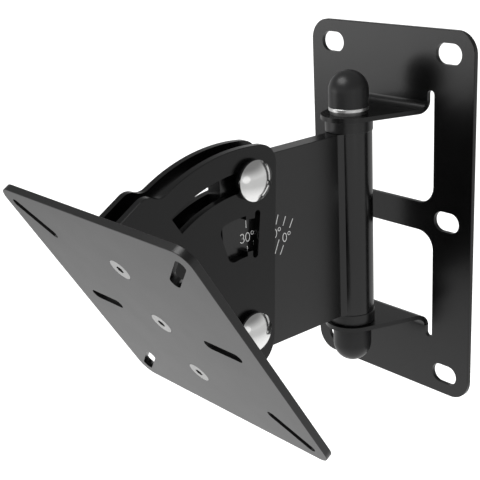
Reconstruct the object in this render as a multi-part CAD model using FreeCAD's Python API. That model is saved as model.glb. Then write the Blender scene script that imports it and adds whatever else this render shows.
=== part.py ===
"""Speaker wall bracket: a folded wall plate, a swivelling post with an arm, and a tilting speaker plate.

Millimetres. The origin is the centre of the wall plate's back face, so y = 0 is the wall.
The bracket reaches out along -Y, +Z is up and +X is to the right for someone facing the wall plate.
The dome heads and the printed scale are on the +X side of the arm, the nuts on the -X side.
"""
import FreeCAD, Part
import math
import os

from FreeCAD import Placement, Rotation, Vector

# Wall plate, one folded sheet
wall_width = 140.0
wall_height = 250.0
wall_sheet = 3.0
wall_corner_r = 14.5
window_width = 78.0
window_corner_r = 12.5
crossbar_height = 19.4
wall_slot_inset_x = 20.0
wall_slot_inset_z = 15.0
wall_slot_length = 20.4
wall_slot_width = 13.6

# Ears bent forward out of the wall plate
ear_end_r = 18.2
ear_root_width = 66.8
ear_bend_r = 5.0
relief_height = 7.4

# Swivel post
post_offset = 40.7
tube_r = 15.0
tube_wall = 3.0
bush_flange_r = 15.5
bush_flange_height = 7.75
bush_sleeve_length = 14.0
swivel_bolt_r = 6.0
swivel_washer_r = 12.0
swivel_washer_thick = 2.5
swivel_flange_r = 13.0
swivel_flange_thick = 2.3
swivel_hex = 18.0
swivel_head_height = 9.7
swivel_nut_height = 12.0
swivel_bolt_end = 2.0
cap_r = 13.0
cap_over_head = 13.35
cap_over_end = 10.55

# Arm plate
arm_thick = 11.2
arm_height = 125.0
arm_reach = 114.8
arm_corner_r = 8.0

# Tilt pivot and clamp bolt, placed from the arm's front, lower and upper edges
pivot_setback = 14.7
pivot_rise = 19.0
clamp_drop = 10.68
clamp_lean = 3.3
tilt = 31.5

# Tilt bracket, one folded channel: a web with a cheek each side of the arm
bracket_sheet = 4.75
bracket_bend_r = 1.5
web_foot = 26.1
cheek_margin = 20.0
cheek_edge_offset = 19.3
cheek_edge_lean = 35.1
cheek_top_r = 12.5
cheek_toe_r = 19.0
shoulder_r = 9.15
shoulder_offset = 11.0
shoulder_fillet_r = 9.0
arc_slot_width = 12.6
arc_slot_spare = 1.0
window_inner_r = 48.7
window_outer_r = 74.1
window_span = 16.5
window_round = 5.0
gate_inset = 2.6
gate_span = 5.5
pointer_lean = 7.2
pointer_width = 4.2

# Bolts of the tilt joint
joint_bolt_r = 5.0
joint_thread_root_r = 4.2
dome_r = 12.5
dome_rim = 1.5
dome_height = 4.2
neck_width = 10.0
head_washer_r = 12.25
head_washer_thick = 3.0
nut_washer_r = 11.0
nut_washer_thick = 2.0
joint_hex = 17.0
joint_nut_height = 8.0
joint_nut_collar = 2.0
joint_bolt_end = 3.0
joint_end_chamfer = 0.7

# Speaker plate and its screws
plate_size = 180.0
plate_thick = 4.75
plate_corner_r = 10.0
plate_rise = 48.9
diagonal_slot_inset = 21.2
diagonal_slot_length = 35.0
side_slot_inset = 34.3
side_slot_length = 31.0
plate_slot_width = 7.2
screw_pitch = 47.6
screw_r = 4.0
screw_head_r = 7.5
screw_head_depth = 4.2
screw_socket = 5.0
screw_socket_depth = 2.6
bar_thick = 4.0
bar_end = 8.0

# Broken edges of sheets, plates, washers and nuts
edge_r = 0.4
nut_face = 0.95

# Clearances
slide_gap = 0.1
arm_side_gap = 0.3
bar_clearance = 5.45
bolt_clearance = 0.08
hole_clearance = 0.25
thread_clearance = 0.05
cap_clearance = 0.15
through = 1.0

# Places that follow from the sizes above
X, Y, Z = Vector(1, 0, 0), Vector(0, 1, 0), Vector(0, 0, 1)
tube_half = arm_height / 2
ear_inner_z = tube_half + bush_flange_height + slide_gap
ear_outer_z = ear_inner_z + wall_sheet
bend_line_z = ear_outer_z + ear_bend_r
wall_slot_x = wall_width / 2 - wall_slot_inset_x
wall_slot_z = wall_height / 2 - wall_slot_inset_z
post = Vector(0, -post_offset, 0)
flange_z = ear_outer_z + swivel_washer_thick
arm_front = -post_offset - arm_reach
pivot = Vector(0, arm_front + pivot_setback, pivot_rise - tube_half)
clamp_rise = arm_height - pivot_rise - clamp_drop
clamp_radius = clamp_rise / math.cos(math.radians(clamp_lean))
clamp = pivot + Vector(0, clamp_rise * math.tan(math.radians(clamp_lean)), clamp_rise)
arm_corner_swing = math.hypot(pivot_setback - arm_corner_r, pivot_rise - arm_corner_r) + arm_corner_r
arm_half = arm_thick / 2
cheek_in = arm_half + arm_side_gap
cheek_out = cheek_in + bracket_sheet
web_stand = arm_corner_swing + bar_clearance + bar_thick
plate_back = web_stand + bracket_sheet
plate_front = plate_back + plate_thick
side_slot_x = plate_size / 2 - side_slot_inset
diagonal_slot_x = plate_size / 2 - diagonal_slot_inset
cheek_arc_r = clamp_radius + cheek_margin
shoulder_z = math.sqrt(cheek_arc_r ** 2 - shoulder_offset ** 2)
web_top = shoulder_z + shoulder_r
web_bottom = -web_foot


def box(x, y, z):
    """Box between pairs of limits along each axis."""
    return Part.makeBox(x[1] - x[0], y[1] - y[0], z[1] - z[0], Vector(x[0], y[0], z[0]))


def centred(width):
    return -width / 2, width / 2


def cylinder(radius, start, direction, length):
    return Part.makeCylinder(radius, length, start, direction)


def ring(outer_r, inner_r, start, direction, length):
    hole = cylinder(inner_r, start - direction * through, direction, length + 2 * through)
    return cylinder(outer_r, start, direction, length).cut(hole)


def hexagon(across_flats, start, direction, length):
    """Hexagonal prism with two of its flats facing along the turned X axis."""
    corner_r = across_flats / math.sqrt(3)
    angles = [math.radians(60 * i + 30) for i in range(7)]
    corners = [Vector(corner_r * math.cos(a), corner_r * math.sin(a), 0) for a in angles]
    prism = Part.Face(Part.makePolygon(corners)).extrude(Vector(0, 0, length))
    prism.Placement = Placement(start, Rotation(Z, direction))
    return prism


def nut_blank(across_flats, start, direction, length):
    """Hexagonal prism with its corners turned off at both ends in 30 degree cones."""
    face_r = nut_face * across_flats / 2
    wide_r = face_r + length * math.tan(math.radians(60))
    turned = Part.makeCone(face_r, wide_r, length, start, direction)
    turned = turned.common(Part.makeCone(face_r, wide_r, length, start + direction * length, -direction))
    return hexagon(across_flats, start, direction, length).common(turned)


def prism_yz(edges, half_width):
    """Closed outline in the YZ plane, extruded half_width to each side of x = 0."""
    face = Part.Face(Part.Wire(edges))
    face.translate(Vector(-half_width, 0, 0))
    return face.extrude(Vector(2 * half_width, 0, 0))


def polygon_yz(points, half_width):
    corners = [Vector(0, y, z) for y, z in points]
    return prism_yz(Part.makePolygon(corners + corners[:1]).Edges, half_width)


def edges_along(solid, direction, near=None, count=1):
    """Straight edges parallel to a direction: all of them, or the count nearest to a point."""
    found = []
    for edge in solid.Edges:
        if len(edge.Vertexes) == 2 and isinstance(edge.Curve, Part.Line):
            if abs(abs(edge.Curve.Direction.dot(direction)) - 1) < 1e-6:
                found.append(edge)
    if near is None:
        return found
    line = Part.Line(near, near + direction).toShape(-1000, 1000)
    return sorted(found, key=lambda edge: edge.distToShape(line)[0])[:count]


def rims(solid, direction):
    """Edges that lie flat across a direction, such as both outlines of a plate."""
    found = []
    for edge in solid.Edges:
        places = [point.dot(direction) for point in edge.discretize(5)]
        if max(places) - min(places) < 1e-6:
            found.append(edge)
    return found


def capsule(length, width, y, centre=(0, 0), turn=0):
    """Slot cutter along Y between two y values, turned about Y by degrees from lying along X."""
    half = (length - width) / 2
    depth = y[1] - y[0]
    body = box((-half, half), y, centred(width))
    for x in (-half, half):
        body = body.fuse(cylinder(width / 2, Vector(x, y[0], 0), Y, depth))
    body = body.removeSplitter()
    body.rotate(Vector(), Y, turn)
    body.translate(Vector(centre[0], 0, centre[1]))
    return body


def mirror_z(shape):
    return shape.mirror(Vector(), Z)


def window_cutter():
    """Upper window: rounded at the crossbar, with a relief notch beside each end of the bend."""
    half = window_width / 2
    y = (-wall_sheet - through, through)
    cutter = box((-half, half), y, (crossbar_height / 2, bend_line_z))
    low = [edge for edge in edges_along(cutter, Y) if edge.BoundBox.ZMax < crossbar_height]
    cutter = cutter.makeFillet(window_corner_r, low)
    notch_r = (window_width - ear_root_width) / 4
    top = bend_line_z + relief_height - notch_r
    for side in (-1, 1):
        x = side * (half - notch_r)
        cutter = cutter.fuse(box((x - notch_r, x + notch_r), y, (bend_line_z - notch_r, top)))
        cutter = cutter.fuse(cylinder(notch_r, Vector(x, y[0], top), Y, y[1] - y[0]))
    return cutter


def ear():
    """Upper ear: a quarter bend out of the sheet, then flat, narrowing to a round end at the post."""
    front = -post_offset - ear_end_r
    bend_y = -wall_sheet - ear_bend_r
    outer_r = wall_sheet + ear_bend_r
    slant = math.sqrt(0.5)

    def arc(radius):
        turns = [(0, -1), (slant, -slant), (1, 0)]
        points = [Vector(0, bend_y + radius * a, bend_line_z + radius * b) for a, b in turns]
        return Part.Arc(*points).toShape()

    def line(a, b):
        return Part.LineSegment(Vector(0, *a), Vector(0, *b)).toShape()

    section = [line((-wall_sheet, bend_line_z), (0, bend_line_z)), arc(outer_r),
               line((bend_y, ear_inner_z), (front, ear_inner_z)),
               line((front, ear_inner_z), (front, ear_outer_z)),
               line((front, ear_outer_z), (bend_y, ear_outer_z)), arc(ear_bend_r)]
    folded = prism_yz(Part.sortEdges(section)[0], ear_root_width / 2)
    return folded.common(ear_plan())


def ear_plan():
    """The ear seen from above: straight sides from the root, tangent to the round end."""
    half = ear_root_width / 2
    turn = math.atan2(half, post_offset) + math.acos(ear_end_r / math.hypot(half, post_offset))
    x, y = ear_end_r * math.sin(turn), -post_offset + ear_end_r * math.cos(turn)
    tip = Vector(0, -post_offset - ear_end_r, 0)
    edges = [Part.makePolygon([Vector(-x, y, 0), Vector(-half, 0, 0), Vector(half, 0, 0), Vector(x, y, 0)]),
             Part.Arc(Vector(x, y, 0), tip, Vector(-x, y, 0)).toShape()]
    return Part.Face(Part.Wire(edges)).extrude(Vector(0, 0, bend_line_z))


def wall_plate():
    """One sheet: rounded plate, two windows, two ears and six slots for the wall screws."""
    plate = box(centred(wall_width), (-wall_sheet, 0), centred(wall_height))
    plate = plate.makeFillet(wall_corner_r, edges_along(plate, Y))
    front_rim = [edge for edge in rims(plate, Y) if edge.BoundBox.YMax < -wall_sheet / 2]
    plate = plate.makeFillet(edge_r, front_rim)
    for cutter, tab in ((window_cutter(), ear()), (mirror_z(window_cutter()), mirror_z(ear()))):
        plate = plate.cut(cutter).fuse(tab)
    plate = plate.removeSplitter()
    y = (-wall_sheet - through, through)
    for x in (-wall_slot_x, wall_slot_x):
        for z in (-wall_slot_z, 0, wall_slot_z):
            plate = plate.cut(capsule(wall_slot_length, wall_slot_width, y, (x, z)))
    return plate.cut(cylinder(swivel_bolt_r + hole_clearance, post - Z * bend_line_z, Z, 2 * bend_line_z))


def swivel_bolt():
    """Flange bolt, head up: its shank is the swivel axis and ends just past the nut."""
    end_z = -flange_z - swivel_nut_height - swivel_bolt_end
    shank = cylinder(swivel_bolt_r, post + Z * end_z, Z, flange_z - end_z)
    flange = cylinder(swivel_flange_r, post + Z * flange_z, Z, swivel_flange_thick)
    flange = flange.makeFillet(swivel_flange_thick / 4, flange.Edges[:1])
    head = nut_blank(swivel_hex, post + Z * flange_z, Z, swivel_flange_thick + swivel_head_height)
    return shank.fuse([flange, head])


def swivel_washer(base_z):
    return ring(swivel_washer_r, swivel_bolt_r + hole_clearance, post + Z * base_z, Z, swivel_washer_thick)


def swivel_nut():
    bore_r = swivel_bolt_r + thread_clearance
    body = nut_blank(swivel_hex, post - Z * flange_z, -Z, swivel_nut_height)
    return body.cut(cylinder(bore_r, post - Z * (flange_z - through), -Z, swivel_nut_height + 2 * through))


def cap_blank(open_z, up, length):
    """Plastic cap before its recess: a straight skirt from the open end, closed by half a ball."""
    start = post + Z * open_z
    skirt = cylinder(cap_r, start, up, length - cap_r)
    crown = Part.makeSphere(cap_r, start + up * (length - cap_r), up, 0, 90, 360)
    return skirt.fuse(crown).removeSplitter()


def top_cap():
    """Cap on the bolt's flange, moulded round the hexagon of its head."""
    open_z = flange_z + swivel_flange_thick
    depth = swivel_head_height + cap_clearance
    recess = hexagon(swivel_hex + 2 * cap_clearance, post + Z * (open_z - through), Z, depth + through)
    return cap_blank(open_z, Z, swivel_head_height + cap_over_head).cut(recess)


def bottom_cap():
    """Cap against the lower ear, moulded round the washer, the nut and the bolt's end."""
    washer_depth = swivel_washer_thick + cap_clearance
    nut_depth = washer_depth + swivel_nut_height
    start = post - Z * (ear_outer_z - through)
    recesses = [cylinder(swivel_washer_r + cap_clearance, start, -Z, through + washer_depth),
                hexagon(swivel_hex + 2 * cap_clearance, start, -Z, through + nut_depth),
                cylinder(swivel_bolt_r + cap_clearance, start, -Z, through + nut_depth + swivel_bolt_end)]
    length = swivel_washer_thick + swivel_nut_height + swivel_bolt_end + cap_over_end
    return cap_blank(-ear_outer_z, -Z, length).cut(recesses[0].fuse(recesses[1:]))


def swivel_tube():
    return ring(tube_r, tube_r - tube_wall, post - Z * tube_half, Z, 2 * tube_half)


def bush():
    """Upper bush: its flange is the collar between ear and tube, its sleeve sits in the tube."""
    flange = cylinder(bush_flange_r, post + Z * tube_half, Z, bush_flange_height)
    flange = flange.makeFillet(edge_r, rims(flange, Z))
    sleeve_r = tube_r - tube_wall - thread_clearance
    sleeve = cylinder(sleeve_r, post + Z * (tube_half - bush_sleeve_length), Z, bush_sleeve_length)
    bore_start = post + Z * (tube_half - bush_sleeve_length - through)
    bore_length = bush_sleeve_length + bush_flange_height + 2 * through
    bore = cylinder(swivel_bolt_r + bolt_clearance, bore_start, Z, bore_length)
    return flange.fuse(sleeve).cut(bore)


def arm_plate():
    """Thick flat bar: coped round the tube at the back, with a hole for each joint bolt."""
    body = box((-arm_half, arm_half), (arm_front, -post_offset), centred(arm_height))
    front = [edge for edge in edges_along(body, X) if edge.BoundBox.YMax < arm_front + arm_corner_r]
    body = body.makeFillet(arm_corner_r, front)
    outline = [edge for edge in rims(body, X) if edge.BoundBox.YMin < -post_offset - tube_r]
    body = body.makeFillet(edge_r, outline)
    body = body.cut(cylinder(tube_r, post - Z * arm_height, Z, 2 * arm_height))
    for centre in (pivot, clamp):
        body = body.cut(cylinder(joint_bolt_r + slide_gap, centre - X * arm_thick, X, 2 * arm_thick))
    return body


def sector(inner_r, outer_r, start, end, half_width):
    """Ring sector about the pivot's X axis; angles in degrees from +Z, positive towards -Y."""
    reach = 2 * outer_r
    rays = [(-reach * math.sin(math.radians(a)), reach * math.cos(math.radians(a))) for a in (start, end)]
    wedge = polygon_yz([(0, 0)] + rays, half_width)
    return ring(outer_r, inner_r, Vector(-half_width, 0, 0), X, 2 * half_width).common(wedge)


def cheek_outline():
    """Both cheeks in side view, at level tilt with the pivot at the origin.

    The back is an arc about the pivot, cut by one slanting edge. A shoulder joins it to the web's top.
    """
    lean = math.radians(cheek_edge_lean)
    half = cheek_out + through

    def edge_y(z):
        return (cheek_edge_offset + z * math.sin(lean)) / math.cos(lean)

    top = 2 * cheek_arc_r
    blank = polygon_yz([(-plate_back, web_bottom), (edge_y(web_bottom), web_bottom),
                        (edge_y(top), top), (-plate_back, top)], half)
    outline = blank.common(cylinder(cheek_arc_r, Vector(-half, 0, 0), X, 2 * half))
    root = box((-half, half), (-plate_back, -shoulder_offset), (0, web_top))
    shoulder = cylinder(shoulder_r, Vector(-half, -shoulder_offset, shoulder_z), X, 2 * half)
    outline = outline.fuse([root, shoulder]).removeSplitter()
    for target, radius in ((Vector(0, shoulder_r - shoulder_offset, shoulder_z), shoulder_fillet_r),
                           (edge_and_arc(lean), cheek_top_r),
                           (Vector(0, edge_y(web_bottom), web_bottom), cheek_toe_r)):
        outline = outline.makeFillet(radius, edges_along(outline, X, target))
    return outline


def edge_and_arc(lean):
    """Where the slanting back edge meets the arc."""
    along = math.sqrt(cheek_arc_r ** 2 - cheek_edge_offset ** 2)
    return Vector(0, cheek_edge_offset * math.cos(lean) + along * math.sin(lean),
                  along * math.cos(lean) - cheek_edge_offset * math.sin(lean))


def arc_slot():
    """Slot for the clamp bolt: long enough for its neck from level to full tilt, with a little to spare."""
    inner_r, outer_r = clamp_radius - arc_slot_width / 2, clamp_radius + arc_slot_width / 2
    spare = math.degrees(math.asin(neck_width / 2 / inner_r)) + arc_slot_spare
    return sector(inner_r, outer_r, spare - clamp_lean, -clamp_lean - tilt - spare, cheek_out + through)


def scale_window():
    """Opening in the near cheek over the printed scale: a rounded sector, a gate and a pointer slit."""
    half = cheek_out + through
    main = sector(window_inner_r, window_outer_r, window_span - tilt, -tilt, half)
    left = math.radians(window_span - tilt)
    for radius in (window_inner_r, window_outer_r):
        corner = Vector(0, -radius * math.sin(left), radius * math.cos(left))
        main = main.makeFillet(window_round, edges_along(main, X, corner))
    gate_inner_r, gate_outer_r = window_inner_r + gate_inset, window_outer_r - gate_inset
    gate = sector(gate_inner_r, gate_outer_r, window_span / 2 - tilt, -tilt - gate_span, half)
    slit = box((-half, half), centred(pointer_width), (window_inner_r, window_outer_r))
    for z in (window_inner_r, window_outer_r):
        slit = slit.fuse(cylinder(pointer_width / 2, Vector(-half, 0, z), X, 2 * half))
    slit.rotate(Vector(), X, -tilt - pointer_lean)
    cutter = main.fuse([gate, slit])
    return cutter.common(box((0, half), centred(2 * cheek_arc_r), centred(2 * cheek_arc_r)))


def channel():
    """Folded channel: web against the speaker plate, legs past the back of the cheeks."""
    reach = 2 * cheek_arc_r
    z = (web_bottom, web_top)
    outer = box((-cheek_out, cheek_out), (-plate_back, reach), z)
    inner = box((-cheek_in, cheek_in), (-web_stand, reach + through), (z[0] - through, z[1] + through))

    def folded(body, radius):
        front = [edge for edge in edges_along(body, Z) if edge.BoundBox.YMax < 0]
        return body.makeFillet(radius, front)

    return folded(outer, bracket_bend_r + bracket_sheet).cut(folded(inner, bracket_bend_r))


def cheek_rims(body):
    """Outline of both cheeks' outer faces, without the lines where the bends begin."""
    found = []
    for edge in rims(body, X):
        bend_line = isinstance(edge.Curve, Part.Line) and abs(edge.Curve.Direction.z) > 0.9
        if abs(edge.Vertexes[0].X) > cheek_in + bracket_sheet / 2 and not bend_line:
            found.append(edge)
    return found


def tilt_bracket():
    """Channel trimmed to the cheek outline, with arc slots, scale window, pivot and screw holes."""
    body = channel().common(cheek_outline())
    body = body.makeFillet(edge_r, cheek_rims(body))
    square = neck_width + 2 * hole_clearance
    body = body.cut(arc_slot()).cut(scale_window())
    body = body.cut(box((0, cheek_out + through), centred(square), centred(square)))
    body = body.cut(cylinder(joint_bolt_r + hole_clearance, Vector(), -X, cheek_out + through))
    for z in screw_heights():
        start = Vector(0, -plate_back - through, z)
        body = body.cut(cylinder(screw_r + hole_clearance, start, Y, bracket_sheet + 2 * through))
    return in_place(body)


def in_place(shape):
    """Tilt a shape that was made level about the pivot, and put it on the arm."""
    shape.rotate(Vector(), X, tilt)
    shape.translate(pivot)
    return shape


def screw_heights():
    return [plate_rise + i * screw_pitch for i in (1, 0, -1)]


def speaker_plate():
    """Square plate: a diagonal slot at each corner, two side slots and three countersunk holes."""
    half = plate_size / 2
    body = box((-half, half), (-plate_front, -plate_back), (plate_rise - half, plate_rise + half))
    body = body.makeFillet(plate_corner_r, edges_along(body, Y))
    body = body.makeFillet(edge_r, rims(body, Y))
    y = (-plate_front - through, -plate_back + through)
    for side in (-1, 1):
        centre = (side * side_slot_x, plate_rise)
        body = body.cut(capsule(side_slot_length, plate_slot_width, y, centre))
        for up in (-1, 1):
            centre = (side * diagonal_slot_x, plate_rise + up * diagonal_slot_x)
            body = body.cut(capsule(diagonal_slot_length, plate_slot_width, y, centre, -45 * side * up))
    for z in screw_heights():
        body = body.cut(screw_body(z, hole_clearance, through))
    return in_place(body)


def screw_body(z, extra, past=0.0):
    """Countersunk screw blank: cone flush with the plate's front, shank through web and bar."""
    head = Vector(0, -plate_front, z)
    cone_end_r = screw_r + extra
    cone = Part.makeCone(screw_head_r + extra, cone_end_r, screw_head_depth + extra, head, Y)
    length = plate_thick + bracket_sheet + bar_thick
    return cone.fuse(cylinder(cone_end_r, head - Y * past, Y, length + 2 * past)).removeSplitter()


def plate_screw(z):
    start = Vector(0, -plate_front - through, z)
    socket = hexagon(screw_socket, start, Y, screw_socket_depth + through)
    return in_place(screw_body(z, 0.0).cut(socket))


def backing_bar():
    """Tapped bar in the channel behind the web, which takes the three plate screws."""
    half = cheek_in - arm_side_gap
    heights = screw_heights()
    y = (-web_stand, -web_stand + bar_thick)
    body = box((-half, half), y, (heights[-1] - bar_end, heights[0] + bar_end))
    front = [edge for edge in edges_along(body, Z) if edge.BoundBox.YMax < y[1]]
    body = body.makeChamfer(bracket_bend_r, front)
    for z in heights:
        start = Vector(0, -web_stand - through, z)
        body = body.cut(cylinder(screw_r + thread_clearance, start, Y, bar_thick + 2 * through))
    return in_place(body)


def dome_bolt(centre, turn, gap):
    """Dome head bolt along X: head and square neck on the +X side, end past the nut on the -X side."""
    head_x = cheek_out + gap + head_washer_thick
    ball_r = (dome_r ** 2 + dome_height ** 2) / (2 * dome_height)
    rim = cylinder(dome_r, Vector(head_x, 0, 0), X, dome_rim + dome_height)
    ball = Part.makeSphere(ball_r, Vector(head_x + dome_rim + dome_height - ball_r, 0, 0))
    neck = box((cheek_in, head_x), centred(neck_width), centred(neck_width))
    end_x = -cheek_out - gap - nut_washer_thick - joint_nut_height - joint_nut_collar - joint_bolt_end
    tail = cylinder(joint_thread_root_r, Vector(end_x, 0, 0), X, joint_bolt_end)
    end_rim = [edge for edge in rims(tail, X) if edge.BoundBox.XMax < end_x + joint_bolt_end / 2]
    tail = tail.makeChamfer(joint_end_chamfer, end_rim)
    shank = cylinder(joint_bolt_r, Vector(end_x + joint_bolt_end, 0, 0), X, head_x - end_x - joint_bolt_end)
    bolt = rim.common(ball).fuse([neck, shank, tail]).removeSplitter()
    bolt.rotate(Vector(), X, turn)
    bolt.translate(centre)
    return bolt


def head_washer(centre, turn, gap):
    """Thick washer under a dome head, with a square hole for the neck."""
    start = Vector(cheek_out + gap, 0, 0)
    square = neck_width + 2 * hole_clearance
    washer = cylinder(head_washer_r, start, X, head_washer_thick)
    washer = washer.makeFillet(edge_r, rims(washer, X))
    washer = washer.cut(box((0, 2 * cheek_out + head_washer_thick), centred(square), centred(square)))
    washer.rotate(Vector(), X, turn)
    washer.translate(centre)
    return washer


def nut_washer(centre, gap):
    start = centre - X * (cheek_out + gap)
    return ring(nut_washer_r, joint_bolt_r + hole_clearance, start, -X, nut_washer_thick)


def lock_nut(centre, gap):
    """Hexagon with a round collar that holds the locking ring."""
    start = centre - X * (cheek_out + gap + nut_washer_thick)
    body = nut_blank(joint_hex, start, -X, joint_nut_height)
    collar_r = joint_hex / 2 - joint_nut_collar / 2
    collar = cylinder(collar_r, start - X * joint_nut_height, -X, joint_nut_collar)
    length = joint_nut_height + joint_nut_collar
    bore = cylinder(joint_bolt_r + thread_clearance, start + X * through, -X, length + 2 * through)
    return body.fuse(collar).cut(bore)


def parts():
    """Every separate piece under the name of its file."""
    top, middle, bottom = screw_heights()
    upper = bush()
    return {
        "wall_plate": wall_plate(),
        "swivel_bolt": swivel_bolt(),
        "top_washer": swivel_washer(ear_outer_z),
        "bottom_washer": swivel_washer(-flange_z),
        "swivel_nut": swivel_nut(),
        "top_cap": top_cap(),
        "bottom_cap": bottom_cap(),
        "swivel_tube": swivel_tube(),
        "upper_bush": upper,
        "lower_bush": mirror_z(upper),
        "arm_plate": arm_plate(),
        "clamp_bolt": dome_bolt(clamp, -clamp_lean, slide_gap),
        "clamp_head_washer": head_washer(clamp, -clamp_lean, slide_gap),
        "clamp_washer": nut_washer(clamp, slide_gap),
        "clamp_nut": lock_nut(clamp, slide_gap),
        "tilt_bracket": tilt_bracket(),
        "speaker_plate": speaker_plate(),
        "plate_screw_top": plate_screw(top),
        "plate_screw_middle": plate_screw(middle),
        "plate_screw_bottom": plate_screw(bottom),
        "backing_bar": backing_bar(),
        "pivot_bolt": dome_bolt(pivot, tilt, 0.0),
        "pivot_head_washer": head_washer(pivot, tilt, 0.0),
        "pivot_washer": nut_washer(pivot, 0.0),
        "pivot_nut": lock_nut(pivot, 0.0),
    }


os.makedirs("parts", exist_ok=True)
for name, shape in parts().items():
    shape.exportStep("parts/" + name + ".step")
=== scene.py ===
"""Looks of the speaker wall bracket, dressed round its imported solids.

Metres, in the solids' own frame: the wall is y = 0, the bracket reaches out along -Y, +Z is up.
"""
import math

import bpy
import numpy as np
from mathutils import Matrix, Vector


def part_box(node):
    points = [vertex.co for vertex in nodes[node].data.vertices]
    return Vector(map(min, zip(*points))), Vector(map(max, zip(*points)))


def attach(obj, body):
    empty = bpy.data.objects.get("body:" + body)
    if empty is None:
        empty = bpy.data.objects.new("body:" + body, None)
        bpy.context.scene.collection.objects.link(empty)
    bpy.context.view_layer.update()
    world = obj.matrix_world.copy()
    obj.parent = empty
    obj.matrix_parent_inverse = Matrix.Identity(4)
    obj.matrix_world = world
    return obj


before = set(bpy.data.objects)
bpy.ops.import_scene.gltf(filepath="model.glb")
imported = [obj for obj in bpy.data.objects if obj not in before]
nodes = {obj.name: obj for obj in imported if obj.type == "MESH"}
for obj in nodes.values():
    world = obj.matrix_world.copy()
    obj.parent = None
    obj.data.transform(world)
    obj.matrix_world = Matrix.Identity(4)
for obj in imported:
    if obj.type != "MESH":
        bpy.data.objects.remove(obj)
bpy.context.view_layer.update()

# Wall plate: one blank of 3 mm steel sheet, with its windows, slots and reliefs cut by laser.
# Both ears are bent out of it in a press brake. It is degreased and powder coated in satin black.
# The baked coat has a fine orange peel, and its gloss wanders a little from place to place.
noise_middle = (0.3, 0.7)


def new_finish(name):
    """An empty finish, with its node tree and its shader."""
    finish = bpy.data.materials.new(name)
    finish.use_nodes = True
    return finish, finish.node_tree, finish.node_tree.nodes["Principled BSDF"]


def speckle(tree, scale, detail):
    """Noise from 0 to 1 that is fixed in the piece: scale sets its fineness, detail adds layers."""
    place = tree.nodes.new("ShaderNodeTexCoord")
    noise = tree.nodes.new("ShaderNodeTexNoise")
    noise.inputs["Scale"].default_value = scale
    noise.inputs["Detail"].default_value = detail
    tree.links.new(place.outputs["Object"], noise.inputs["Vector"])
    return noise.outputs["Fac"]


def lay_shade(tree, pattern, shade, low, high):
    """Base colour that runs with a pattern from shade * low to shade * high."""
    tint = tree.nodes.new("ShaderNodeMix")
    tint.data_type = "RGBA"
    tint.inputs["A"].default_value = (*(shade * part for part in low), 1)
    tint.inputs["B"].default_value = (*(shade * part for part in high), 1)
    tree.links.new(pattern, tint.inputs["Factor"])
    tree.links.new(tint.outputs["Result"], tree.nodes["Principled BSDF"].inputs["Base Color"])


def lay_gloss(tree, pattern, roughness, spread, reach=(0, 1)):
    """Roughness that varies by the spread to each side while a pattern runs over its reach."""
    gloss = tree.nodes.new("ShaderNodeMapRange")
    gloss.inputs["From Min"].default_value, gloss.inputs["From Max"].default_value = reach
    gloss.inputs["To Min"].default_value = roughness - spread
    gloss.inputs["To Max"].default_value = roughness + spread
    tree.links.new(pattern, gloss.inputs["Value"])
    tree.links.new(gloss.outputs["Result"], tree.nodes["Principled BSDF"].inputs["Roughness"])


def relief(tree, pattern, strength, depth, under=None):
    """Ripples whose height follows a pattern, laid over the ripples under them if there are any."""
    bump = tree.nodes.new("ShaderNodeBump")
    bump.inputs["Strength"].default_value = strength
    bump.inputs["Distance"].default_value = depth
    tree.links.new(pattern, bump.inputs["Height"])
    if under:
        tree.links.new(under, bump.inputs["Normal"])
    return bump.outputs["Normal"]


def powder_coat(name, shade, roughness, mirror):
    """Satin powder coat: near black, with clouds in its gloss and two sizes of ripple."""
    coat, tree, shader = new_finish(name)
    shader.inputs["Specular IOR Level"].default_value = mirror
    cloud = speckle(tree, scale=45, detail=4)
    lay_shade(tree, cloud, shade, low=(0.75, 0.75, 0.77), high=(1.25, 1.25, 1.28))
    lay_gloss(tree, cloud, roughness, spread=0.01, reach=noise_middle)
    peel = relief(tree, speckle(tree, scale=420, detail=1), strength=0.05, depth=0.0003)
    grain = speckle(tree, scale=1600, detail=2)
    surface = relief(tree, grain, strength=0.06, depth=0.0001, under=peel)
    tree.links.new(surface, shader.inputs["Normal"])
    return coat


def dress(finish, *pieces):
    """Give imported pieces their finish."""
    for piece in pieces:
        mesh = nodes[piece].data
        mesh.materials.clear()
        mesh.materials.append(finish)


wall_plate_coat = powder_coat("wall_plate_coat", shade=0.0015, roughness=0.26, mirror=0.58)
dress(wall_plate_coat, "wall_plate")

# Post: a 30 mm steel tube with a flanged bush pressed into each end, which turn on the swivel bolt.
# The bushes are turned from black nylon, matt, with the faint rings that the lathe tool leaves.


def turned_nylon(name, shade, roughness, groove_pitch):
    """Black nylon turned about the post's axis, with rings at the pitch of the tool's feed.

    The rings repeat each pi / 10 / scale along z, which gives their scale from the pitch.
    """
    nylon, tree, shader = new_finish(name)
    shader.inputs["Specular IOR Level"].default_value = 0.62
    shader.inputs["Base Color"].default_value = (shade, shade, shade * 1.02, 1)
    lay_gloss(tree, speckle(tree, scale=260, detail=3), roughness, spread=0.06)
    place = tree.nodes.new("ShaderNodeTexCoord")
    rings = tree.nodes.new("ShaderNodeTexWave")
    rings.bands_direction = "Z"
    rings.inputs["Scale"].default_value = math.pi / 10 / groove_pitch
    rings.inputs["Distortion"].default_value = 0.4
    tree.links.new(place.outputs["Object"], rings.inputs["Vector"])
    grooves = relief(tree, rings.outputs["Fac"], strength=0.08, depth=0.00005)
    tree.links.new(grooves, shader.inputs["Normal"])
    return nylon


bush_nylon = turned_nylon("bush_nylon", shade=0.006, roughness=0.3, groove_pitch=0.0004)
dress(bush_nylon, "upper_bush", "lower_bush")

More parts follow.
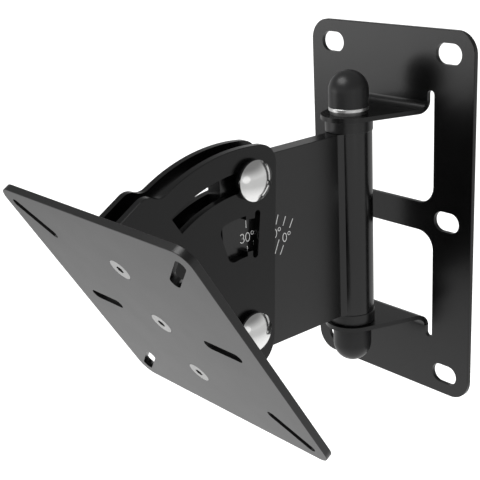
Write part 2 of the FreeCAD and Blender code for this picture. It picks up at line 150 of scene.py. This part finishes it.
# Arm: a flat bar 11.2 mm thick, coped round the tube and welded to it before both are coated.
# Its coat is laid on thicker than the wall plate's and so comes out glossier.
arm_coat = powder_coat("arm_coat", shade=0.003, roughness=0.2, mirror=0.75)
dress(arm_coat, "swivel_tube", "arm_plate")

# Arm welds: a fillet weld down each side of the joint of arm and tube, dressed before coating.
# Its ripples are ground off, so that a narrow flat facet with rounded toes is left.
post_y = -0.0407
arm_toe = (0.0056, -0.0166)
tube_toe = (0.00777, -0.01283)
weld_crown = 0.0002
weld_depth = 0.0012
weld_rows = 25
weld_columns = 13


def swept_mesh(name, sweeps):
    """One mesh of several sweeps, each a grid of points and whether its path is closed.

    A grid's columns go round the sweep's profile, and its rows follow the path. The columns join
    up. The rows join up on a closed path, and otherwise a face closes each end.
    """
    points, faces, base = [], [], 0
    for grid, closed in sweeps:
        rows, columns = grid.shape[:2]
        index = base + np.arange(rows * columns).reshape(rows, columns)
        down = np.vstack([index, index[:1]]) if closed else index
        ring = np.hstack([down, down[:, :1]])
        quads = np.stack([ring[:-1, :-1], ring[1:, :-1], ring[1:, 1:], ring[:-1, 1:]], -1)
        faces += quads.reshape(-1, 4).tolist()
        if not closed:
            faces += [index[0].tolist(), index[-1, ::-1].tolist()]
        points.append(grid.reshape(-1, 3))
        base += rows * columns
    mesh = bpy.data.meshes.new(name)
    mesh.from_pydata(np.vstack(points).tolist(), [], faces)
    piece = bpy.data.objects.new(name, mesh)
    bpy.context.scene.collection.objects.link(piece)
    return piece


def weld_bead(side):
    """Dressed bead along z, on the right for side 1 and on the left for side -1.

    Point (s, u) lies toe to toe by u, plus crown * (1 - (2u - 1)^4) along the facet's normal, at
    the height s. Two more points lie a depth under the toes, inside the metal.
    """
    start, end = np.array(arm_toe), np.array(tube_toe)
    share = np.linspace(0, 1, weld_columns)[:, None]
    normal = np.array([end[1] - start[1], start[0] - end[0]])
    normal /= np.linalg.norm(normal)
    face = start + (end - start) * share + normal * weld_crown * (1 - (2 * share - 1) ** 4)
    profile = np.vstack([face, end - normal * weld_depth, start - normal * weld_depth])
    arm_low, arm_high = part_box("arm_plate")
    tube_low, tube_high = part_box("swivel_tube")
    ends = (max(arm_low.z, tube_low.z), min(arm_high.z, tube_high.z))
    height = np.linspace(*(ends[::-1] if side > 0 else ends), weld_rows)
    grid = np.empty((weld_rows, len(profile), 3))
    grid[:, :, 0] = side * profile[:, 0]
    grid[:, :, 1] = post_y + profile[:, 1]
    grid[:, :, 2] = height[:, None]
    return grid, False


arm_welds = swept_mesh("arm_welds", [weld_bead(1), weld_bead(-1)])
arm_welds.data.materials.append(arm_coat)
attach(arm_welds, "swivel_arm")

# Tilt scale: white ink, printed through a screen on the arm's right face after the coat is baked.
# Numbers mark each 10 degrees. Ticks stand above and below each 5, but none above 25.
# The ink lies a few hundredths of a millimetre proud, with soft edges and a chalky surface.
scale_centre = np.array([-0.1358, -0.0491])
scale_zero = 29.35
scale_step = 5.04
scale_steps = 7
degrees_a_step = 5
bare_step = 5
upper_tick = (0.0701, 0.0762)
lower_tick = (0.0523, 0.0586)
lower_long_tick = (0.0519, 0.0612)
number_radius = 0.0642
tick_width = 0.00052
digit_half = (0.0016, 0.00272)
bowl_radius = 0.0014
digit_stroke = 0.0005
digit_advance = 0.0044
label_shift = 0.0004
ring_stroke = 0.0004
ring_advance = 0.0038
ring_rise = 0.0018
ring_radius = 0.00108
arc_points = 24
last_angle = 360 - 360 / arc_points
ink_depth = 0.00002
ink_height = 0.00004
arm_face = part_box("arm_plate")[1].x


def ellipse(centre, radii, start, end):
    """Points of an ellipse's arc in the arm's side plane, in degrees from the first axis."""
    turn = np.radians(np.linspace(start, end, arc_points))
    return np.asarray(centre) + np.stack([radii[0] * np.cos(turn), radii[1] * np.sin(turn)], -1)


def line_of_ink(path, width, closed=False):
    """Rectangular bead of ink carried along a path in the arm's side plane.

    Point (s, corner) = path(s) + side * width / 2 * the path's tangent turned by a right angle,
    at the corner's depth or height over the face. The four corners go round the bead. A closed
    path has no ends.
    """
    tangent = np.roll(path, -1, 0) - np.roll(path, 1, 0) if closed else np.gradient(path, axis=0)
    tangent /= np.linalg.norm(tangent, axis=1, keepdims=True)
    across = np.stack([-tangent[:, 1], tangent[:, 0]], -1) * width / 2
    side = np.array([-1, -1, 1, 1])
    points = np.empty((len(path), 4, 3))
    points[:, :, 0] = arm_face + np.array([-ink_depth, ink_height, ink_height, -ink_depth])
    points[:, :, 1:] = path[:, None] + side[None, :, None] * across[:, None]
    return points, closed


def digit(number, centre):
    """Lines of one digit, drawn round its centre: arcs of ellipses and straight runs."""
    half_width, half_height = digit_half
    if number == 0:
        return [line_of_ink(ellipse(centre, digit_half, 0, last_angle), digit_stroke, True)]
    if number == 1:
        flag, stem = (-0.0013, 0.0015), 0.0002
        corners = centre + np.array([flag, [stem, half_height], [stem, -half_height]])
        return [line_of_ink(corners[:2], digit_stroke), line_of_ink(corners[1:], digit_stroke)]
    bowl = centre + np.array([0, half_height - bowl_radius])
    if number == 2:
        neck, foot_y = (-0.0015, -half_height + 0.0003), -half_height
        bend = ellipse(bowl, (0.0015, bowl_radius), 165, -30)
        foot = centre + np.array([neck, [-half_width, foot_y], [half_width, foot_y]])
        slope = np.vstack([bend, foot[:1]])
        return [line_of_ink(slope, digit_stroke), line_of_ink(foot[1:], digit_stroke)]
    lower_bowl = centre - np.array([0, 0.00132])
    upper = ellipse(bowl, (bowl_radius, bowl_radius), 155, -90)
    lower = ellipse(lower_bowl, (half_width, bowl_radius), 90, -160)
    return [line_of_ink(upper, digit_stroke), line_of_ink(lower, digit_stroke)]


def scale_place(step, radius):
    """Point of the arm's side plane at a step of the scale, at a radius from its centre."""
    turn = math.radians(scale_zero - scale_step * step)
    return scale_centre + radius * np.array([math.sin(turn), math.cos(turn)])


def tick(step, radii):
    """Straight tick at a step of the scale, between two radii."""
    return line_of_ink(np.array([scale_place(step, radius) for radius in radii]), tick_width)


def label(step):
    """Number of degrees at its tick, upright, with the ring of its degree sign."""
    figures = [int(figure) for figure in str(degrees_a_step * step)]
    length = digit_advance * (len(figures) - 1) + ring_advance
    first = scale_place(step, number_radius) - np.array([length / 2 - label_shift, 0])
    lines = []
    for place, figure in enumerate(figures):
        lines += digit(figure, first + np.array([place * digit_advance, 0]))
    ring_centre = first + np.array([length, ring_rise])
    ring = ellipse(ring_centre, (ring_radius, ring_radius), 0, last_angle)
    return lines + [line_of_ink(ring, ring_stroke, True)]


def screen_ink(name, shade):
    """White printing ink: chalky, slightly thin where the screen's mesh let less through."""
    ink, tree, shader = new_finish(name)
    shader.inputs["Roughness"].default_value = 0.6
    mottle = speckle(tree, scale=900, detail=3)
    lay_shade(tree, mottle, shade, low=(0.85, 0.85, 0.84), high=(1.1, 1.1, 1.09))
    lumps = relief(tree, mottle, strength=0.15, depth=0.00002)
    tree.links.new(lumps, shader.inputs["Normal"])
    return ink


ink_lines = []
for step in range(scale_steps):
    numbered = step % 2 == 0
    ink_lines.append(tick(step, lower_tick if numbered else lower_long_tick))
    if step != bare_step:
        ink_lines.append(tick(step, upper_tick))
    if numbered:
        ink_lines += label(step)
scale_print = swept_mesh("scale_print", ink_lines)
scale_print.data.materials.append(screen_ink("scale_ink", shade=0.75))
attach(scale_print, "swivel_arm")

# Swivel bolt: an M12 flange bolt through both ears, with a washer under its flange and its nut.
# Bolt and nut are chromed over steel that is only brushed, so the plating's mirror is soft and
# wanders a little. The washers are plain steel, painted darker than they are: a painted shade that
# stands for the shadow that the flange and the nut cast on them.


def plated(name, shade, roughness, haze, wander):
    """Plating on steel: a mirror clouded by haze, on a surface that wanders a little."""
    metal, tree, shader = new_finish(name)
    shader.inputs["Metallic"].default_value = 1
    cloud = speckle(tree, scale=220, detail=4)
    lay_shade(tree, cloud, shade, low=(0.96, 0.96, 0.95), high=(1.04, 1.04, 1.03))
    lay_gloss(tree, cloud, roughness, spread=haze, reach=noise_middle)
    marks = relief(tree, cloud, strength=wander, depth=0.00005)
    tree.links.new(marks, shader.inputs["Normal"])
    return metal


satin_chrome = plated("satin_chrome", shade=0.8, roughness=0.3, haze=0.04, wander=0.03)
# Painted shade: the washers' dark plating stands for the shadow under the bolt's flange and nut.
washer_steel_painted_shade = plated("washer_steel_painted_shade", shade=0.22, roughness=0.36, haze=0.05, wander=0.05)
dress(satin_chrome, "swivel_bolt", "swivel_nut")
dress(washer_steel_painted_shade, "top_washer", "bottom_washer")

# Caps: domed black covers over the bolt's head and its nut, moulded in a smooth polished mould.
# They push on, and their soft sheen is a little uneven from the way they cool.


def moulded(name, shade, roughness, mirror):
    """Smooth moulded plastic: one colour with a soft sheen, and shallow flow waves in its skin."""
    plastic, tree, shader = new_finish(name)
    shader.inputs["Base Color"].default_value = (shade, shade, shade * 1.03, 1)
    shader.inputs["Specular IOR Level"].default_value = mirror
    flow = speckle(tree, scale=140, detail=2)
    lay_gloss(tree, flow, roughness, spread=0.04)
    waves = relief(tree, flow, strength=0.05, depth=0.0002)
    tree.links.new(waves, shader.inputs["Normal"])
    return plastic


cap_plastic = moulded("cap_plastic", shade=0.013, roughness=0.34, mirror=0.38)
dress(cap_plastic, "top_cap", "bottom_cap")

# Tilt bracket: a blank of 4.75 mm sheet, cut by laser and folded into a channel over the arm.
# The near cheek has the window over the scale. Its coat is as smooth as the arm's, but thinner,
# with a weaker mirror.
tilt_bracket_coat = powder_coat("tilt_bracket_coat", shade=0.002, roughness=0.2, mirror=0.47)
dress(tilt_bracket_coat, "tilt_bracket")

# Joint bolts: chromed M10 dome head bolts, the lower one the tilt axis, the upper one the clamp.
# Each has a square neck in a thick black washer, and on the far side a washer and a lock nut.
# Their steel is polished before it is plated, which leaves a mirror with the faintest haze.
chrome = plated("chrome", shade=0.92, roughness=0.14, haze=0.02, wander=0.02)
dress(chrome, "clamp_bolt", "clamp_washer", "clamp_nut", "pivot_bolt", "pivot_washer", "pivot_nut")
washer_plastic = moulded("washer_plastic", shade=0.003, roughness=0.12, mirror=0.5)
dress(washer_plastic, "clamp_head_washer", "pivot_head_washer")

# Bolt threads: the rolled thread that shows where each joint bolt stands past its nut.
# The bolt's solid is smooth there, at the thread's root.
pivot_centre = (-0.1408, -0.0435)
clamp_centre = (-0.135304, 0.05182)
thread_root = 0.0041
thread_crest = 0.00498
thread_pitch = 0.0015
thread_length = 0.003
thread_runout = 0.0007
thread_rows = 61
thread_columns = 72
ridge_height = 1.6
ridge_slope = 4.4


def bolt_thread(name, centre, end_x, body):
    """Rolled thread as one surface round the bolt's axis.

    Point (s, turn) lies at x = end + s and at radius root + depth * wave(s / pitch - turn /
    circle). The wave is a ridge, height - slope * |phase - 1/2|, with a flat crest and root where
    it is cut off at 1 and 0. It runs out towards the bolt's end.
    """
    along = np.linspace(0, thread_length, thread_rows)[:, None]
    turn = -np.linspace(0, 2 * math.pi, thread_columns, endpoint=False)[None, :]
    phase = (along / thread_pitch - turn / (2 * math.pi)) % 1
    wave = np.clip(ridge_height - ridge_slope * np.abs(phase - 0.5), 0, 1)
    wave *= np.clip(along / thread_runout, 0, 1)
    radius = thread_root + (thread_crest - thread_root) * wave
    grid = np.stack([end_x + along + 0 * turn, centre[0] + radius * np.cos(turn),
                     centre[1] + radius * np.sin(turn)], -1)
    piece = swept_mesh(name, [(grid, False)])
    piece.data.materials.append(chrome)
    piece.data.polygons.foreach_set("use_smooth", [True] * len(piece.data.polygons))
    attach(piece, body)


bolt_thread("pivot_thread", pivot_centre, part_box("pivot_bolt")[0].x, "tilt_head")
bolt_thread("clamp_thread", clamp_centre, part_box("clamp_bolt")[0].x, "swivel_arm")

# Locking rings: the nylon ring that each lock nut's collar holds, which grips the thread.
# It shows as a pale rounded rim in the collar's end.
ring_middle = 0.00605
ring_half_width = 0.00085
ring_half_depth = 0.0006
ring_proud = 0.0002
ring_power = 0.5
ring_rows = 64
ring_columns = 16
ring_nylon = moulded("ring_nylon", shade=0.55, roughness=0.45, mirror=0.45)


def squared(wave):
    """A wave's values with their sign kept and their size taken to a power, which squares it up."""
    return np.sign(wave) * np.abs(wave) ** ring_power


def locking_ring(name, centre, nut, body):
    """Nylon ring: a rounded square profile carried round the bolt's axis.

    Point (turn, p) lies at radius middle + half width * squared(cos p) and at a depth of
    half depth * squared(sin p).
    """
    turn = np.linspace(0, 2 * math.pi, ring_rows, endpoint=False)[:, None]
    profile = np.linspace(0, 2 * math.pi, ring_columns, endpoint=False)[None, :]
    radius = ring_middle + ring_half_width * squared(np.cos(profile))
    depth = ring_half_depth * squared(np.sin(profile))
    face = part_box(nut)[0].x - ring_proud + ring_half_depth
    grid = np.stack([face + depth + 0 * turn, centre[0] + radius * np.cos(turn),
                     centre[1] + radius * np.sin(turn)], -1)
    piece = swept_mesh(name, [(grid, True)])
    piece.data.materials.append(ring_nylon)
    piece.data.polygons.foreach_set("use_smooth", [True] * len(piece.data.polygons))
    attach(piece, body)


locking_ring("pivot_locking_ring", pivot_centre, "pivot_nut", "tilt_head")
locking_ring("clamp_locking_ring", clamp_centre, "clamp_nut", "swivel_arm")

# Speaker plate: a square of 4.75 mm plate, laser cut, with slots for the speaker's own screws.
# Its coat is duller than the others. Three countersunk screws with hexagon sockets hold it through
# the web to a tapped bar in the channel. They are zinc plated: paler and duller than chrome.
speaker_plate_coat = powder_coat("speaker_plate_coat", shade=0.004, roughness=0.32, mirror=0.6)
dress(speaker_plate_coat, "speaker_plate")
zinc = plated("zinc", shade=0.43, roughness=0.3, haze=0.05, wander=0.05)
dress(zinc, "plate_screw_top", "plate_screw_middle", "plate_screw_bottom", "backing_bar")

# The studio: a pale floor below the bracket, brightest under it, in a pale surround that dims
# overhead. Metal shows both. Three soft lamps light it: a large one in front and above, a weak one
# at the right, and a low wide one at the left.
floor_drop = 0.45
floor_size = 6.0
floor_lift = 0.5
pool_centre = (-0.2, -0.05)
pool_reach = (0.2, 1.3)
pool_levels = (1.0, 0.55)
surround_heights = (-0.05, 0.5)
surround_levels = (0.62, 0.2)


def ray_kind(tree, *kinds):
    """1 for rays of any of these kinds, else 0."""
    path = tree.nodes.new("ShaderNodeLightPath")
    result = path.outputs[kinds[0]]
    for kind in kinds[1:]:
        either = tree.nodes.new("ShaderNodeMath")
        either.operation = "MAXIMUM"
        tree.links.new(result, either.inputs[0])
        tree.links.new(path.outputs[kind], either.inputs[1])
        result = either.outputs[0]
    return result


def eased(tree, value, reach, levels):
    """Level that eases from the first to the second while a value runs over its reach."""
    ease = tree.nodes.new("ShaderNodeMapRange")
    ease.interpolation_type = "SMOOTHSTEP"
    ease.inputs["From Min"].default_value, ease.inputs["From Max"].default_value = reach
    ease.inputs["To Min"].default_value, ease.inputs["To Max"].default_value = levels
    tree.links.new(value, ease.inputs["Value"])
    return ease.outputs["Result"]


def floor_paint(name, shade):
    """Matt white that fades with distance where metal shows it, and keeps the object's shadow."""
    paint, tree, matt = new_finish(name)
    matt.inputs["Base Color"].default_value = (shade, shade, shade, 1)
    matt.inputs["Roughness"].default_value = 0.9
    matt.inputs["Specular IOR Level"].default_value = 0.1
    share = tree.nodes.new("ShaderNodeMath")
    share.operation = "MULTIPLY"
    share.inputs[1].default_value = floor_lift
    tree.links.new(ray_kind(tree, "Is Camera Ray"), share.inputs[0])
    lift = tree.nodes.new("ShaderNodeEmission")
    tree.links.new(share.outputs[0], lift.inputs["Strength"])
    lit = tree.nodes.new("ShaderNodeAddShader")
    tree.links.new(matt.outputs[0], lit.inputs[0])
    tree.links.new(lift.outputs[0], lit.inputs[1])
    place = tree.nodes.new("ShaderNodeTexCoord")
    offset = tree.nodes.new("ShaderNodeVectorMath")
    offset.operation = "DISTANCE"
    offset.inputs[1].default_value = (*pool_centre, -floor_drop)
    tree.links.new(place.outputs["Object"], offset.inputs[0])
    glow = tree.nodes.new("ShaderNodeEmission")
    pool = eased(tree, offset.outputs["Value"], pool_reach, pool_levels)
    tree.links.new(pool, glow.inputs["Strength"])
    mix = tree.nodes.new("ShaderNodeMixShader")
    tree.links.new(ray_kind(tree, "Is Glossy Ray", "Is Transmission Ray"), mix.inputs["Fac"])
    tree.links.new(lit.outputs[0], mix.inputs[1])
    tree.links.new(glow.outputs[0], mix.inputs[2])
    tree.links.new(mix.outputs[0], tree.nodes["Material Output"].inputs["Surface"])
    return paint


corners = [(-floor_size, -floor_size, -floor_drop), (floor_size, -floor_size, -floor_drop),
           (floor_size, floor_size, -floor_drop), (-floor_size, floor_size, -floor_drop)]
floor_mesh = bpy.data.meshes.new("floor")
floor_mesh.from_pydata(corners, [], [(0, 1, 2, 3)])
floor_mesh.materials.append(floor_paint("pale_floor", shade=0.8))
floor = bpy.data.objects.new("floor", floor_mesh)
bpy.context.scene.collection.objects.link(floor)

surround = bpy.data.worlds.new("surround")
bpy.context.scene.world = surround
surround.use_nodes = True
sky = surround.node_tree
direction = sky.nodes.new("ShaderNodeTexCoord")
height = sky.nodes.new("ShaderNodeSeparateXYZ")
sky.links.new(direction.outputs["Generated"], height.inputs[0])
dimming = eased(sky, height.outputs["Z"], surround_heights, surround_levels)
shown = sky.nodes.new("ShaderNodeMix")
sky.links.new(ray_kind(sky, "Is Camera Ray", "Is Diffuse Ray"), shown.inputs["Factor"])
sky.links.new(dimming, shown.inputs["A"])
shown.inputs["B"].default_value = 1.0
sky.links.new(shown.outputs["Result"], sky.nodes["Background"].inputs["Strength"])
sky.nodes["Background"].inputs["Color"].default_value = (1, 1, 1, 1)


def set_up(item, right, up, back, place):
    """Stand a lamp or the camera at its place, turned to its own right, up and back."""
    turn = np.eye(4)
    turn[:3, 0], turn[:3, 1], turn[:3, 2], turn[:3, 3] = right, up, back, place
    item.matrix_world = Matrix(turn.tolist())
    bpy.context.scene.collection.objects.link(item)


def soft_lamp(name, place, aim, size, watts):
    """Oval soft lamp at a place, facing the point that it is aimed at."""
    light = bpy.data.lights.new(name, "AREA")
    light.shape = "ELLIPSE"
    light.size, light.size_y = size
    light.energy = watts
    lamp = bpy.data.objects.new(name, light)
    lamp.visible_camera = False
    back = np.array(place) - np.array(aim)
    back /= np.linalg.norm(back)
    side = np.cross([0, 0, 1], back)
    side /= np.linalg.norm(side)
    set_up(lamp, side, np.cross(back, side), back, place)


soft_lamp("front_lamp", (-0.25, -0.75, 1.15), aim=(0.0, -0.1, 0.0), size=(1.2, 0.8), watts=10)
soft_lamp("right_lamp", (1.2, -0.42, 0.05), aim=(0.0, -0.12, 0.0), size=(0.6, 0.5), watts=0.24)
soft_lamp("left_lamp", (-1.1, -1.25, -0.02), aim=(0.0, 0.0, 0.08), size=(1.0, 0.5), watts=1.7)

# The camera stands to the right of the bracket and above it, and looks down at it through a long
# lens, a little tilted to one side.
camera_place = (0.4619, -0.5231, 0.2213)
camera_bearing = math.radians(50.143)
camera_drop = math.radians(19.162)
camera_roll = math.radians(-3.041)
camera_lens = 78.68
camera_sensor = 36.0
level = np.array([-math.sin(camera_bearing), math.cos(camera_bearing), 0])
ahead = level * math.cos(camera_drop) - np.array([0, 0, math.sin(camera_drop)])
level_right = np.array([math.cos(camera_bearing), math.sin(camera_bearing), 0])
level_up = np.cross(level_right, ahead)
right = level_right * math.cos(camera_roll) + level_up * math.sin(camera_roll)
up = level_up * math.cos(camera_roll) - level_right * math.sin(camera_roll)
camera = bpy.data.objects.new("camera", bpy.data.cameras.new("camera"))
camera.data.lens = camera_lens
camera.data.sensor_width = camera_sensor
set_up(camera, right, up, -ahead, camera_place)
bpy.context.scene.camera = camera
bpy.context.scene.view_settings.view_transform = "Standard"
